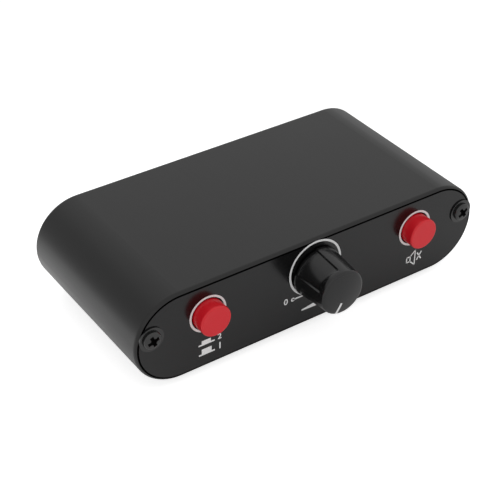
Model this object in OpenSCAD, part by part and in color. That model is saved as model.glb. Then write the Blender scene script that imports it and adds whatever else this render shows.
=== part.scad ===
// Audio switch box: an extruded sleeve with a panel let into each mouth. The front carries
// a volume control, a source button and a mute button, the rear three pairs of phono sockets.
// Millimetres. X is to the right seen from the front, Y to the rear and Z up. The origin is
// on the surface that the box stands on, below the middle of its overall length and width.

/* [Case] */
// Outside width of the sleeve
case_w = 120; // [114:1:140]
// Outside height of the sleeve, whose two sides are full half rounds
case_h = 29.1; // [28.5:0.1:34]
// Length of the sleeve from mouth to mouth
case_d = 58.3; // [56:0.1:90]
// Wall of the sleeve
wall = 2; // [1.6:0.1:2.4]
// Wall left round the pocket that takes a panel
lip_wall = 1.1; // [0.9:0.1:1.5]
// Rounding of the sleeve's outer edge at both mouths
mouth_round = 1.2; // [0.5:0.1:1.2]
// Width of the rim left outside the bevel of each mouth
rim_w = 0.6; // [0.5:0.1:0.8]
// Depth of that bevel
bevel_d = 0.8; // [0.5:0.1:1.4]
// Radius of a foot
foot_r = 5; // [3:0.5:7]
// Height of a foot
foot_h = 2; // [1:0.5:5]
// Distance from the case's side to the feet's centres
foot_side = 22; // [20:1:40]
// Distance from each mouth to the feet's centres
foot_inset = 10; // [8:0.5:14]

/* [Panels] */
// Thickness of the front and rear panels
panel_t = 2; // [1.5:0.1:2.5]
// Gap round a panel in its pocket
panel_gap = 0.1; // [0.05:0.05:0.3]
// How far a panel's face stands out of the mouth
panel_proud = 0; // [0:0.05:0.3]
// Distance from the case's side to the panel screws
screw_inset = 5.05; // [4.8:0.05:5.3]
// Height of the panel screws above the case's bottom
screw_z = 17.9; // [17.4:0.1:18.4]
// Radius of a panel screw's shank
screw_r = 1.5; // [1.25:0.05:1.6]
// Length of a panel screw's shank
screw_len = 10; // [7:0.5:14]
// Radius of a panel screw's head
screw_head_r = 2.8; // [2.4:0.05:3]
// Height of a panel screw's head
screw_head_h = 1.2; // [1.1:0.1:2.2]
// Radius of the washer under a front panel screw
washer_r = 3.85; // [3.2:0.05:4.2]
// Thickness of that washer
washer_t = 0.4; // [0.3:0.1:0.8]
// Turn of the left and right front screws' cross recesses
screw_turns = [20, 34];

/* [Circuit board] */
// Height of the board's top face above the case's bottom
board_top = 12.2; // [11.8:0.1:12.6]
// Thickness of the board
board_t = 1.6; // [1.2:0.1:2]
// Gap between the board's long edges and the sleeve's wall
board_side_gap = 1.4; // [1:0.1:1.8]
// Thickness of a guide rib above and below the board
rib_t = 1.2; // [0.8:0.1:1.4]
// Overlap of the guide ribs on the board
rib_grip = 1.6; // [1.2:0.1:2.2]
// How far pins stick out below the board
pin_out = 2.4; // [1.5:0.1:3]

/* [Volume control] */
// Height of the volume shaft above the case's bottom
knob_z = 17.9; // [17.7:0.1:19.2]
// How far the middle of the knob's face stands in front of the panel
knob_out = 13.6; // [12.5:0.1:18]
// Gap between the knob and the panel
knob_gap = 0.4; // [0.2:0.1:0.8]
// Radius of the knob at its base
knob_base_r = 8.2; // [7.6:0.1:8.6]
// Radius of the knob at its face
knob_face_r = 7.1; // [6.6:0.05:7.3]
// How far the middle of the knob's domed face stands out past its rim
knob_crown = 0.9; // [0.3:0.1:1.2]
// Rounding of the knob's front edge
knob_edge = 0.8; // [0.3:0.1:1.2]
// Number of finger recesses round the knob
flutes = 3; // [2:1:4]
// Width of a finger recess, in degrees
flute_angle = 70; // [40:1:76]
// Depth of a finger recess
flute_depth = 0.55; // [0.3:0.05:0.7]
// Length of plain knob in front of the recesses
flute_end = 1.9; // [1.5:0.1:3]
// Length of the slope at the front end of a recess
flute_run = 1.1; // [0.5:0.1:2]
// Length of the pointer line on the knob's face
pointer_len = 3.8; // [2:0.1:5]
// Width of the pointer line
pointer_w = 0.7; // [0.5:0.1:1.2]
// Direction of the pointer at the lowest setting, counterclockwise from the right
pointer_rest = 250; // [240:1:260]
// Turn from the lowest setting to the highest
volume_turn = 300; // [270:5:300]
// Radius of the control's shaft
shaft_r = 3; // [2.8:0.05:3.1]
// Distance from the shaft's centre to its flat
shaft_flat = 1.5; // [1.2:0.1:2]
// Radius of the threaded bush
bush_r = 3.5; // [3.45:0.05:3.8]
// How far the bush sticks out of the panel
bush_out = 3.4; // [3:0.1:3.6]
// Nut's width across its flats
nut_af = 9; // [8.4:0.1:9.4]
// Thickness of the nut
nut_t = 2; // [1.6:0.1:2.2]
// Width of the control's housing
pot_w = 9.8; // [9.6:0.1:12]
// Depth of the control's housing
pot_d = 11; // [10.6:0.1:13]

/* [Push buttons] */
// Distance from the case's side to a button
button_inset = 23.2; // [21:0.1:30]
// Height of the buttons above the case's bottom
button_z = 18.5; // [18:0.1:19.4]
// Radius of a button cap
cap_r = 4.9; // [4.4:0.05:5.2]
// Rounding of a cap's front edge
cap_edge = 0.5; // [0.2:0.1:0.8]
// Length of a cap
cap_len = 9; // [8.5:0.1:11]
// How far a cap stands out of the panel when it is out
cap_out = 4.3; // [3.6:0.1:5]
// Travel of a button
button_travel = 2.5; // [1.5:0.1:3]
// Gap round a cap in the panel
cap_gap = 0.3; // [0.2:0.05:0.5]
// Side of the square plunger
plunger_side = 3; // [2.6:0.1:3.2]
// Width of a switch housing
switch_w = 9; // [8.6:0.1:11]
// Depth of a switch housing
switch_d = 12; // [11.6:0.1:14]

/* [Phono sockets] */
// Distance from the case's side to the outer pairs' centres
pair_inset = 23; // [22:0.5:26]
// Distance between the two sockets of a pair
socket_pitch = 14; // [13.6:0.1:16]
// Height of the sockets above the case's bottom
socket_z = 18; // [17.6:0.1:19]
// How far a socket sticks out of the rear panel
socket_out = 8; // [7:0.1:11]
// Outer radius of a socket's barrel
barrel_r = 4.15; // [4:0.01:4.3]
// Wall of a socket's barrel
barrel_wall = 0.75; // [0.6:0.05:0.9]
// Width of the shoulder behind a barrel, which fills the block and the panel's hole
shoulder_w = 0.45; // [0.3:0.05:0.6]
// How far the shoulder stands out of the rear panel
shoulder_out = 0.5; // [0.2:0.1:1]
// Radius of the hole for a plug's pin
contact_r = 1.65; // [1.6:0.01:1.75]
// Wall of a socket's centre contact
contact_wall = 0.45; // [0.3:0.05:0.5]
// Depth of the hole for a plug's pin
contact_depth = 9; // [8:0.5:12]
// Depth of a pair's moulded block
block_d = 10; // [8:0.1:12]
// Radius of the screw that holds a block
block_screw_r = 1.25; // [1:0.05:1.4]
// Length of that screw's shank
block_screw_len = 7.5; // [5:0.5:7.5]
// Radius of that screw's head
block_screw_head_r = 2.3; // [2:0.05:2.4]
// Height of that screw's head
block_screw_head_h = 1.6; // [1.2:0.1:2]
// Turn of each of those screws' cross recess
block_screw_turns = [-17, 20, 57];

/* [Hidden] */

$fn = 64;
// Extra length of a cutting shape past the face that it leaves
over = 1;
// How far the pointer line stands out of the knob's face
pointer_proud = 0.05;
// Clearance of a piece that is pushed into its seat
seat = 0.05;
// Clearance of a plain hole round a screw, bush or barrel
hole_gap = 0.15;
white = [0.92, 0.92, 0.9];
red = [0.72, 0.1, 0.1];

case_r = case_h / 2;
end_x = case_w / 2 - case_r;
foot_x = case_w / 2 - foot_side;
edge_round = min(mouth_round, 2 * rim_w);
pocket_d = panel_t - panel_proud;
front_face = -panel_proud;
front_inner = pocket_d;
rear_face = case_d + panel_proud;
rear_inner = case_d - pocket_d;
knob_face_y = front_face - knob_out;
socket_end = rear_face + socket_out;

screw_x = case_w / 2 - screw_inset;
port_wall = 1.4;
port_r = screw_r + seat + port_wall;
port_slot = 1.6;
cross_w = 0.95;
cross_share = 0.61;
cross_depth = 1;
cross_core_share = 0.4;

board_bottom = board_top - board_t;
board_edge_x = end_x - board_side_gap
    + sqrt(pow(case_r - wall, 2) - pow(case_r - board_top + board_t / 2, 2));
board_end_gap = 0.8;
rib_reach = board_side_gap + over;
pin_r = 0.35;
pin_hole_r = pin_r + hole_gap;
pin_foot_z = board_bottom - pin_out;

knob_len = knob_out - knob_gap;
knob_dome_r = (pow(knob_face_r, 2) + pow(knob_crown, 2)) / (2 * knob_crown);
knob_edge_t = knob_dome_r - sqrt(pow(knob_dome_r - knob_edge, 2) - pow(knob_face_r - knob_edge, 2));
knob_rim_r = (knob_face_r - knob_edge) * knob_dome_r / (knob_dome_r - knob_edge);
knob_cavity_r = nut_af / 2 / cos(30) + 0.4;
knob_cavity_d = bush_out + 0.2 - knob_gap;
knob_roof = 2.5;
groove_angle = 3;
groove_depth = 0.2;
pointer_t = 0.6;
pointer_margin = 0.4;
pointer_to = knob_face_r - pointer_margin;
pointer_from = pointer_to - pointer_len;
front_y = -(socket_end + knob_face_y - max(0, pointer_proud - knob_face_drop(pointer_from))) / 2;
shaft_running_gap = 0.05;

pot_wall = 1.2;
pot_cover_t = 0.8;
pot_bore_r = pot_w / 2 - 0.65;
pot_back = front_inner + pot_d;
shaft_flange_t = 0.6;
core_r = 1.8;
gang_pitch = 4.4;
gang_y = front_inner + pot_wall + 0.1 + shaft_flange_t + 0.2;
wiper_t = 1.4;
wiper_r = pot_bore_r - 0.65;
disc_gap = 0.3;
disc_t = 1;
lug_angle = 18;
stop_clearance = 3;
stop_angle = 360 - volume_turn - lug_angle - 2 * stop_clearance;
stop_from = pointer_rest + lug_angle / 2 + stop_clearance;
terminal_pitch = 2.5;

button_x = case_w / 2 - button_inset;
cap_front = front_face - cap_out;
cap_back = cap_front + cap_len;
cap_roof = 1.8;
cap_wall = 1;
switch_front = cap_back + button_travel + 0.5;
switch_back = switch_front + switch_d;
switch_wall = 1;
carrier_t = 3.2;
carrier_side = 5.4;
carrier_front = switch_front + switch_wall + 0.1;
carrier_back = carrier_front + carrier_t;
clip_t = 0.3;
chamber_drop = carrier_side / 2 + clip_t + 0.2;
switch_pin_x = 2.2;
switch_pin_pitch = 2.5;
spring_r = 1.5;
spring_wire_r = 0.25;
spring_turns = 5;

pair_x = case_w / 2 - pair_inset;
shoulder_r = barrel_r + shoulder_w;
block_w = socket_pitch + 2 * (shoulder_r + 0.9);
block_rise = 5.6;
tail_y = rear_inner - block_d - 1.3;
tail_r = 0.6;
leg_w = 0.7;
leg_t = 0.5;
leg_hole_r = 0.6;
insulator_inset = 0.5;

// Stands the case's own frame, front mouth at y 0 and bottom at z 0, on its feet
module placed() translate([0, front_y, foot_h]) children();

// Extrudes an outline drawn in X and Z from y0 to y1
module along_y(y0, y1) translate([0, y1, 0]) rotate([90, 0, 0]) linear_extrude(y1 - y0) children();

// Turns a half profile, radius by distance to the rear, round an axis along Y
module turned(x, y, z) translate([x, y, z]) rotate([-90, 0, 0]) rotate_extrude() children();

// A cylinder along Y from y0 to y1
module rod(x, z, r, y0, y1) translate([x, y0, z]) rotate([-90, 0, 0]) cylinder(h = y1 - y0, r = r);

// A cylinder along Z from z0 to z1
module post(x, y, r, z0, z1) translate([x, y, z0]) cylinder(h = z1 - z0, r = r);

// A box between two corners
module block(from, to) translate(from) cube(to - from);

// A round-sided outline about the case's middle height
module stadium(w, h) translate([0, case_r]) {
    square([w - h, h], center = true);
    for (s = [-1, 1]) translate([s * (w - h) / 2, 0]) circle(h / 2);
}

// A half profile h long with a rounded outer corner at its start
module rounded_bar(r, h, edge) {
    translate([0, edge]) square([r, h - edge]);
    square([r - edge, edge]);
    translate([r - edge, edge]) circle(edge);
}

// A wedge of the space round the volume shaft, between two directions seen from the front
module sector(from, to, r0, r1, y0, y1)
    translate([0, y0, knob_z]) rotate([-90, 0, 0]) rotate([0, 0, -to])
        rotate_extrude(angle = to - from) translate([r0, 0]) square([r1 - r0, y1 - y0]);

// Places its children at the volume shaft with local X along a direction seen from the front
module towards(angle, y) translate([0, y, knob_z]) rotate([-90, 0, 0]) rotate([0, 0, -angle]) children();

// Case
module sleeve_skin() {
    inside_l = case_d - 2 * edge_round;
    for (s = [-1, 1]) translate([s * end_x, 0, case_r]) rotate([-90, 0, 0])
        rotate_extrude() {
            translate([0, edge_round]) square([case_r, inside_l]);
            square([case_r - edge_round, case_d]);
            for (t = [edge_round, case_d - edge_round])
                translate([case_r - edge_round, t]) circle(edge_round);
        }
    translate([-end_x, 0, 0]) rotate([90, 0, 90]) linear_extrude(2 * end_x) {
        translate([edge_round, 0]) square([inside_l, case_h]);
        translate([0, edge_round]) square([case_d, case_h - 2 * edge_round]);
        for (t = [edge_round, case_d - edge_round]) for (z = [edge_round, case_h - edge_round])
            translate([t, z]) circle(edge_round);
    }
}

module sleeve_bore() {
    difference() {
        stadium(case_w - 2 * wall, case_h - 2 * wall);
        for (s = [-1, 1]) {
            translate([s * screw_x, screw_z]) circle(port_r);
            for (z = [board_top + hole_gap, board_bottom - hole_gap - rib_t])
                translate([s * (board_edge_x + (rib_reach - rib_grip) / 2), z + rib_t / 2])
                    square([rib_reach + rib_grip, rib_t], center = true);
        }
    }
    for (s = [-1, 1]) {
        translate([s * screw_x, screw_z]) circle(screw_r + seat);
        translate([s * (screw_x - (port_r + over) / 2), screw_z])
            square([port_r + over, port_slot], center = true);
    }
}

// The bevel inside the front mouth, from the rim back to the panel's pocket
module mouth_bevel() {
    from = case_r - rim_w + (lip_wall - rim_w) / bevel_d * over;
    to = case_r - lip_wall;
    for (s = [-1, 1]) translate([s * end_x, 0, case_r]) rotate([-90, 0, 0]) rotate_extrude()
        polygon([[0, -over], [from, -over], [to, bevel_d], [0, bevel_d]]);
    translate([-end_x, 0, case_r]) rotate([90, 0, 90]) linear_extrude(2 * end_x)
        polygon([[-over, -from], [bevel_d, -to], [bevel_d, to], [-over, from]]);
}

module case_sleeve() color([0.2, 0.2, 0.21]) difference() {
    sleeve_skin();
    along_y(-over, case_d + over) sleeve_bore();
    for (y = [-over, rear_inner]) along_y(y, y + pocket_d + over)
        stadium(case_w - 2 * lip_wall, case_h - 2 * lip_wall);
    mouth_bevel();
    at_rear() mouth_bevel();
}

module foot(sx, y) color([0.1, 0.1, 0.1])
    translate([sx * foot_x, y, -foot_h]) rotate_extrude() rounded_bar(foot_r, foot_h, foot_h / 4);

// Panels
module panel_blank(y0) along_y(y0, y0 + panel_t)
    stadium(case_w - 2 * (lip_wall + panel_gap), case_h - 2 * (lip_wall + panel_gap));

module panel_screw_holes(y0) for (s = [-1, 1])
    rod(s * screw_x, screw_z, screw_r + hole_gap, y0 - over, y0 + panel_t + over);

module front_panel() color([0.22, 0.22, 0.23]) difference() {
    panel_blank(front_face);
    panel_screw_holes(front_face);
    rod(0, knob_z, bush_r + hole_gap, front_face - over, front_inner + over);
    for (s = [-1, 1]) rod(s * button_x, button_z, cap_r + cap_gap, front_face - over, front_inner + over);
}

module rear_panel() color([0.22, 0.22, 0.23]) difference() {
    panel_blank(rear_inner);
    panel_screw_holes(rear_inner);
    for (x = [-pair_x, 0, pair_x]) {
        rod(x, socket_z, block_screw_r + hole_gap, rear_inner - over, rear_face + over);
        for (s = [-1, 1])
            rod(x + s * socket_pitch / 2, socket_z, shoulder_r + hole_gap,
                rear_inner - over, rear_face + over);
    }
}

// Panel fasteners, drawn for the front; the rear screws are a mirror image without washers
module at_rear() translate([0, case_d, 0]) mirror([0, 1, 0]) children();

module washers() color([0.12, 0.12, 0.12]) for (s = [-1, 1]) difference() {
    rod(s * screw_x, screw_z, washer_r, front_face - washer_t, front_face);
    rod(s * screw_x, screw_z, screw_r + hole_gap, front_face - washer_t - over, front_face + over);
}

module screw(x, z, turn, r, length, head_r, head_h, seat_y) {
    head_y = seat_y - head_h;
    difference() {
        union() {
            turned(x, head_y, z) rounded_bar(head_r, head_h, head_h / 2);
            rod(x, z, r, head_y + head_h / 2, seat_y + length);
        }
        translate([x, head_y, z]) rotate([0, -turn, 0]) for (a = [0, 90]) rotate([0, a, 0])
            cube([2 * cross_share * head_r, 2 * cross_depth, cross_w], center = true);
        turned(x, head_y, z) polygon([[0, -over], [cross_core_share * head_r, -over],
            [cross_core_share * head_r, 0], [0, cross_depth]]);
    }
}

module panel_screws(seat_y) color([0.12, 0.12, 0.12]) for (i = [0, 1])
    screw((2 * i - 1) * screw_x, screw_z, screw_turns[i], screw_r, screw_len,
        screw_head_r, screw_head_h, seat_y);

// Circuit board
module circuit_board() color([0.1, 0.35, 0.2]) difference() {
    block([-board_edge_x, front_inner + board_end_gap, board_bottom],
        [board_edge_x, rear_inner - board_end_gap, board_top]);
    for (p = concat(terminal_places(), switch_pin_places(-button_x), switch_pin_places(button_x),
            [for (x = [-pair_x, 0, pair_x]) each tail_places(x)], resistor_lead_places()))
        post(p.x, p.y, pin_hole_r, board_bottom - over, board_top + over);
    for (x = [-pair_x, 0, pair_x]) for (p = leg_places(x))
        post(p.x, p.y, leg_hole_r, board_bottom - over, board_top + over);
}

resistor_r = 1.1;
resistor_len = 6;
resistor_reach = 5;
lead_r = 0.3;
resistor_z = board_top + resistor_r + 0.2;
resistor_pitch = 16;
resistor_gap = 10;
resistor_places = [for (i = [-1.5:1:1.5]) [i * resistor_pitch, switch_back + resistor_gap]];
function resistor_lead_places() =
    [for (p = resistor_places) for (s = [-1, 1]) [p.x + s * resistor_reach, p.y]];

module mute_resistors() color([0.75, 0.65, 0.45]) for (p = resistor_places) {
    translate([p.x, p.y, resistor_z]) rotate([0, 90, 0]) {
        cylinder(h = resistor_len, r = resistor_r, center = true);
        cylinder(h = 2 * resistor_reach, r = lead_r, center = true);
    }
    for (s = [-1, 1]) {
        translate([p.x + s * resistor_reach, p.y, resistor_z]) sphere(lead_r);
        post(p.x + s * resistor_reach, p.y, lead_r, pin_foot_z, resistor_z);
    }
}

// Volume control
function disc_y(gang) = gang_y + gang * gang_pitch + wiper_t + disc_gap;
function terminal_places() =
    [for (gang = [0, 1]) for (i = [-1, 0, 1]) [i * terminal_pitch, disc_y(gang) + disc_t + pin_r + seat]];

module pot_housing() color([0.7, 0.7, 0.72]) {
    difference() {
        block([-pot_w / 2, front_inner, board_top], [pot_w / 2, pot_back, knob_z + pot_w / 2]);
        rod(0, knob_z, pot_bore_r, front_inner + pot_wall, pot_back + over);
        rod(0, knob_z, shaft_r + shaft_running_gap, front_inner - over, front_inner + pot_wall + over);
        for (p = terminal_places()) post(p.x, p.y, pin_r + seat, board_top - over, knob_z);
    }
    sector(stop_from, stop_from + stop_angle, wiper_r + 0.1, pot_bore_r + 0.2,
        gang_y - 0.2, gang_y + wiper_t + 0.2);
}

module pot_rear_cover() color([0.75, 0.75, 0.77])
    block([-pot_w / 2, pot_back, board_top], [pot_w / 2, pot_back + pot_cover_t, knob_z + pot_w / 2]);

module pot_bush() color([0.78, 0.74, 0.6]) difference() {
    rod(0, knob_z, bush_r, front_face - bush_out, front_inner);
    rod(0, knob_z, shaft_r + shaft_running_gap, front_face - bush_out - over, front_inner + over);
}

module pot_washer() color([0.75, 0.75, 0.77]) difference() {
    rod(0, knob_z, nut_af / 2 + 0.4, front_face - washer_t, front_face);
    rod(0, knob_z, bush_r + hole_gap, front_face - washer_t - over, front_face + over);
}

module pot_nut() color([0.78, 0.78, 0.8]) difference() {
    translate([0, front_face - washer_t, knob_z]) rotate([90, 0, 0])
        cylinder(h = nut_t, r = nut_af / 2 / cos(30), $fn = 6);
    rod(0, knob_z, bush_r + seat, front_face - washer_t - nut_t - over, front_face);
}

module pot_track_discs() color([0.35, 0.25, 0.15]) for (gang = [0, 1]) difference() {
    rod(0, knob_z, pot_bore_r - seat, disc_y(gang), disc_y(gang) + disc_t);
    rod(0, knob_z, core_r + 0.2, disc_y(gang) - over, disc_y(gang) + disc_t + over);
}

module pot_terminals() color([0.8, 0.8, 0.82]) for (p = terminal_places())
    post(p.x, p.y, pin_r, pin_foot_z, knob_z - core_r - 0.4);

module pot_shaft() color([0.8, 0.8, 0.82]) {
    tip = knob_face_y + knob_roof + 0.1;
    flange_y = front_inner + pot_wall + 0.1;
    difference() {
        rod(0, knob_z, shaft_r, tip, flange_y + shaft_flange_t / 2);
        towards(pointer_rest, tip - over) translate([shaft_flat, -shaft_r, 0])
            cube([shaft_r, 2 * shaft_r, front_face - bush_out - tip + over]);
    }
    rod(0, knob_z, wiper_r, flange_y, flange_y + shaft_flange_t);
    rod(0, knob_z, core_r, flange_y, disc_y(1) + disc_t + 0.4);
}

module pot_wipers() color([0.9, 0.9, 0.85]) for (gang = [0, 1]) {
    y0 = gang_y + gang * gang_pitch;
    difference() {
        union() {
            rod(0, knob_z, wiper_r, y0, y0 + wiper_t);
            if (gang == 0)
                sector(pointer_rest - lug_angle / 2, pointer_rest + lug_angle / 2,
                    wiper_r - 0.3, pot_bore_r - 0.15, y0, y0 + wiper_t);
            towards(pointer_rest, y0 + wiper_t / 2) translate([wiper_r - 0.6, 0, 0])
                cylinder(h = wiper_t / 2 + disc_gap - 0.05, r = 0.4);
        }
        rod(0, knob_z, core_r + 0.02, y0 - over, y0 + wiper_t + over);
    }
}

// How far the knob's domed face lies behind its middle at a radius
function knob_face_drop(r) = knob_dome_r - sqrt(pow(knob_dome_r, 2) - r * r);

// Radius of the knob's side at a distance behind the middle of its face
function knob_side_r(t) = knob_face_r
    + (knob_base_r - knob_face_r) * (t - knob_edge_t) / (knob_len - knob_edge_t);

// The knob's half profile: a dome, a rounded edge that meets it smoothly, and a straight side
module knob_profile() intersection() {
    union() {
        polygon([[0, 0], [knob_rim_r, 0], [knob_rim_r, knob_edge_t], [knob_face_r, knob_edge_t],
            [knob_base_r, knob_len], [0, knob_len]]);
        translate([knob_face_r - knob_edge, knob_edge_t]) circle(knob_edge);
    }
    translate([0, knob_dome_r]) circle(knob_dome_r, $fn = 360);
}

// A cutter that leaves a groove of the given depth and width, in degrees, along the knob's side
module knob_groove(direction, angle, depth)
    towards(direction + angle / 2, knob_face_y) rotate_extrude(angle = angle)
        polygon([
            [knob_side_r(flute_end), flute_end],
            [knob_side_r(flute_end + flute_run) - depth, flute_end + flute_run],
            [knob_side_r(knob_len + over) - depth, knob_len + over],
            [knob_base_r + over, knob_len + over],
            [knob_base_r + over, flute_end]
        ]);

module volume_knob() color([0.13, 0.13, 0.14]) difference() {
    turned(0, knob_face_y, knob_z) knob_profile();
    for (i = [0:flutes - 1]) {
        knob_groove(pointer_rest + i * 360 / flutes, flute_angle, flute_depth);
        knob_groove(pointer_rest + (i + 0.5) * 360 / flutes, groove_angle, groove_depth);
    }
    rod(0, knob_z, knob_cavity_r, front_face - knob_gap - knob_cavity_d, front_face + over);
    intersection() {
        rod(0, knob_z, shaft_r + 0.02, knob_face_y + knob_roof, front_face);
        towards(pointer_rest, knob_face_y) translate([-knob_base_r, -knob_base_r, 0])
            cube([knob_base_r + shaft_flat + 0.02, 2 * knob_base_r, knob_out]);
    }
    pointer_bar();
}

// The pointer's bar, which follows the dome and the rounded edge of the knob's face
module pointer_bar() intersection() {
    towards(pointer_rest, knob_face_y - pointer_proud) translate([pointer_from, -pointer_w / 2, 0])
        cube([pointer_len, pointer_w, pointer_t + knob_crown]);
    turned(0, knob_face_y - pointer_proud, knob_z) knob_profile();
}

module knob_pointer() color([0.95, 0.95, 0.95]) pointer_bar();

// Push switches
function switch_pin_places(x) = [for (s = [-1, 1]) for (i = [-1, 0, 1])
    [x + s * switch_pin_x, (switch_front + switch_back) / 2 + i * switch_pin_pitch]];

module switch_housing(x) color([0.12, 0.12, 0.13]) difference() {
    block([x - switch_w / 2, switch_front, board_top],
        [x + switch_w / 2, switch_back, button_z + chamber_drop + switch_wall]);
    block([x - switch_w / 2 + switch_wall, switch_front + switch_wall, button_z - chamber_drop],
        [x + switch_w / 2 - switch_wall, switch_back - switch_wall, button_z + chamber_drop]);
    along_y(switch_front - over, switch_front + switch_wall + over)
        translate([x, button_z]) square(plunger_side + 0.2, center = true);
    for (p = switch_pin_places(x)) post(p.x, p.y, pin_r + seat, board_top - over, button_z);
}

module switch_pins(x) color([0.8, 0.8, 0.82]) for (p = switch_pin_places(x))
    post(p.x, p.y, pin_r, pin_foot_z, button_z - chamber_drop);

module switch_plunger(x) color([0.9, 0.9, 0.88]) {
    along_y(cap_front + cap_roof + 0.2, carrier_front + carrier_t / 2)
        translate([x, button_z]) square(plunger_side, center = true);
    along_y(carrier_front, carrier_back) translate([x, button_z]) square(carrier_side, center = true);
    rod(x, button_z, spring_r - spring_wire_r - 0.15, carrier_back - 0.5, carrier_back + 1.5);
}

module switch_contacts(x) color([0.8, 0.6, 0.3]) for (s = [-1, 1])
    block([x + s * carrier_side / 4 - 0.8, carrier_front + 0.4, button_z - carrier_side / 2 - clip_t],
        [x + s * carrier_side / 4 + 0.8, carrier_back - 0.4, button_z - carrier_side / 2]);

// A coil spring along Y, swept as one tube of six sides
module switch_spring(x) color([0.75, 0.75, 0.78]) {
    steps = 12 * spring_turns;
    sides = 6;
    y0 = carrier_back + spring_wire_r + 0.02;
    y1 = switch_back - switch_wall - spring_wire_r - 0.02;
    points = [for (i = [0:steps]) for (j = [0:sides - 1])
        let (a = i * 360 * spring_turns / steps, b = j * 360 / sides, r = spring_r + spring_wire_r * cos(b))
        [x + r * cos(a), y0 + (y1 - y0) * i / steps + spring_wire_r * sin(b), button_z + r * sin(a)]];
    walls = [for (i = [0:steps - 1]) for (j = [0:sides - 1])
        let (a = i * sides + j, b = i * sides + (j + 1) % sides)
        each [[a, b, b + sides], [a, b + sides, a + sides]]];
    last = steps * sides;
    caps = [for (j = [1:sides - 2]) each [[0, j + 1, j], [last, last + j, last + j + 1]]];
    polyhedron(points, concat(walls, caps));
}

module button_cap(x) color([0.75, 0.15, 0.17]) difference() {
    turned(x, cap_front, button_z) rounded_bar(cap_r, cap_len, cap_edge);
    difference() {
        rod(x, button_z, cap_r - cap_wall, cap_front + cap_roof, cap_back + over);
        rod(x, button_z, plunger_side * 0.9, cap_front, cap_back + over);
    }
    along_y(cap_front + cap_roof + 0.1, cap_back + over)
        translate([x, button_z]) square(plunger_side + 2 * seat, center = true);
}

// Phono sockets, in pairs about an x
function tail_places(x) = [for (s = [-1, 1]) [x + s * socket_pitch / 2, tail_y]];
function leg_places(x) = [for (s = [-1, 1])
    [x + s * (socket_pitch / 2 + barrel_r - barrel_wall / 2), rear_inner - block_d - leg_t / 2]];

module pair_block(x) color([0.1, 0.1, 0.11]) difference() {
    block([x - block_w / 2, rear_inner - block_d, board_top],
        [x + block_w / 2, rear_inner, socket_z + block_rise]);
    for (s = [-1, 1])
        rod(x + s * socket_pitch / 2, socket_z, shoulder_r + seat,
            rear_inner - block_d - over, rear_inner + over);
    rod(x, socket_z, block_screw_r + seat, rear_face - block_screw_len - 0.5, rear_inner + over);
}

module pair_barrels(x) color([0.8, 0.78, 0.7]) {
    start = rear_inner - block_d;
    for (s = [-1, 1]) difference() {
        union() {
            rod(x + s * socket_pitch / 2, socket_z, shoulder_r, start - leg_t, rear_face + shoulder_out);
            rod(x + s * socket_pitch / 2, socket_z, barrel_r, start, socket_end);
        }
        rod(x + s * socket_pitch / 2, socket_z, barrel_r - barrel_wall,
            start - leg_t - over, socket_end + over);
    }
    for (p = leg_places(x))
        block([p.x - leg_w / 2, p.y - leg_t / 2, pin_foot_z], [p.x + leg_w / 2, p.y + leg_t / 2, socket_z]);
}

// The coloured insulator that fills a barrel, recessed a little at its mouth
module insulator(x, colour) {
    start = rear_inner - block_d - leg_t;
    length = socket_end - insulator_inset - start;
    outer = barrel_r - barrel_wall - seat;
    inner = contact_r + contact_wall + seat;
    color(colour) turned(x, start, socket_z) translate([inner, 0]) square([outer - inner, length]);
}

module pair_contacts(x) color([0.85, 0.75, 0.4]) {
    mouth = socket_end - insulator_inset;
    for (p = tail_places(x)) {
        difference() {
            rod(p.x, socket_z, contact_r + contact_wall, rear_inner - block_d - leg_t, mouth);
            rod(p.x, socket_z, contact_r, mouth - contact_depth, mouth + over);
        }
        rod(p.x, socket_z, tail_r, tail_y, rear_inner - block_d);
        translate([p.x, tail_y, socket_z]) sphere(tail_r);
        post(p.x, p.y, pin_r, pin_foot_z, socket_z);
    }
}

module block_screws() color([0.12, 0.12, 0.12]) for (i = [0, 1, 2]) at_rear()
    screw((i - 1) * pair_x, socket_z, block_screw_turns[i], block_screw_r, block_screw_len,
        block_screw_head_r, block_screw_head_h, front_face);

placed() case_sleeve();
placed() front_panel();
placed() rear_panel();
placed() washers();  // front_panel_washers
placed() panel_screws(front_face - washer_t);  // front_panel_screws
placed() at_rear() panel_screws(front_face);  // rear_panel_screws
placed() foot(-1, foot_inset);  // foot_front_left
placed() foot(1, foot_inset);  // foot_front_right
placed() foot(-1, case_d - foot_inset);  // foot_rear_left
placed() foot(1, case_d - foot_inset);  // foot_rear_right
placed() circuit_board();
placed() mute_resistors();
placed() pot_housing();
placed() pot_rear_cover();
placed() pot_bush();
placed() pot_track_discs();
placed() pot_terminals();
placed() pot_washer();
placed() pot_nut();
placed() pot_shaft();
placed() pot_wipers();
placed() volume_knob();
placed() knob_pointer();
placed() switch_housing(-button_x);  // source_switch_housing
placed() switch_pins(-button_x);  // source_switch_pins
placed() switch_plunger(-button_x);  // source_switch_plunger
placed() switch_contacts(-button_x);  // source_switch_contacts
placed() switch_spring(-button_x);  // source_switch_spring
placed() button_cap(-button_x);  // source_button
placed() switch_housing(button_x);  // mute_switch_housing
placed() switch_pins(button_x);  // mute_switch_pins
placed() switch_plunger(button_x);  // mute_switch_plunger
placed() switch_contacts(button_x);  // mute_switch_contacts
placed() switch_spring(button_x);  // mute_switch_spring
placed() button_cap(button_x);  // mute_button
placed() pair_block(-pair_x);  // input_1_block
placed() pair_barrels(-pair_x);  // input_1_barrels
placed() insulator(-pair_x - socket_pitch / 2, white);  // input_1_white_insulator
placed() insulator(-pair_x + socket_pitch / 2, red);  // input_1_red_insulator
placed() pair_contacts(-pair_x);  // input_1_contacts
placed() pair_block(0);  // input_2_block
placed() pair_barrels(0);  // input_2_barrels
placed() insulator(-socket_pitch / 2, white);  // input_2_white_insulator
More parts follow.
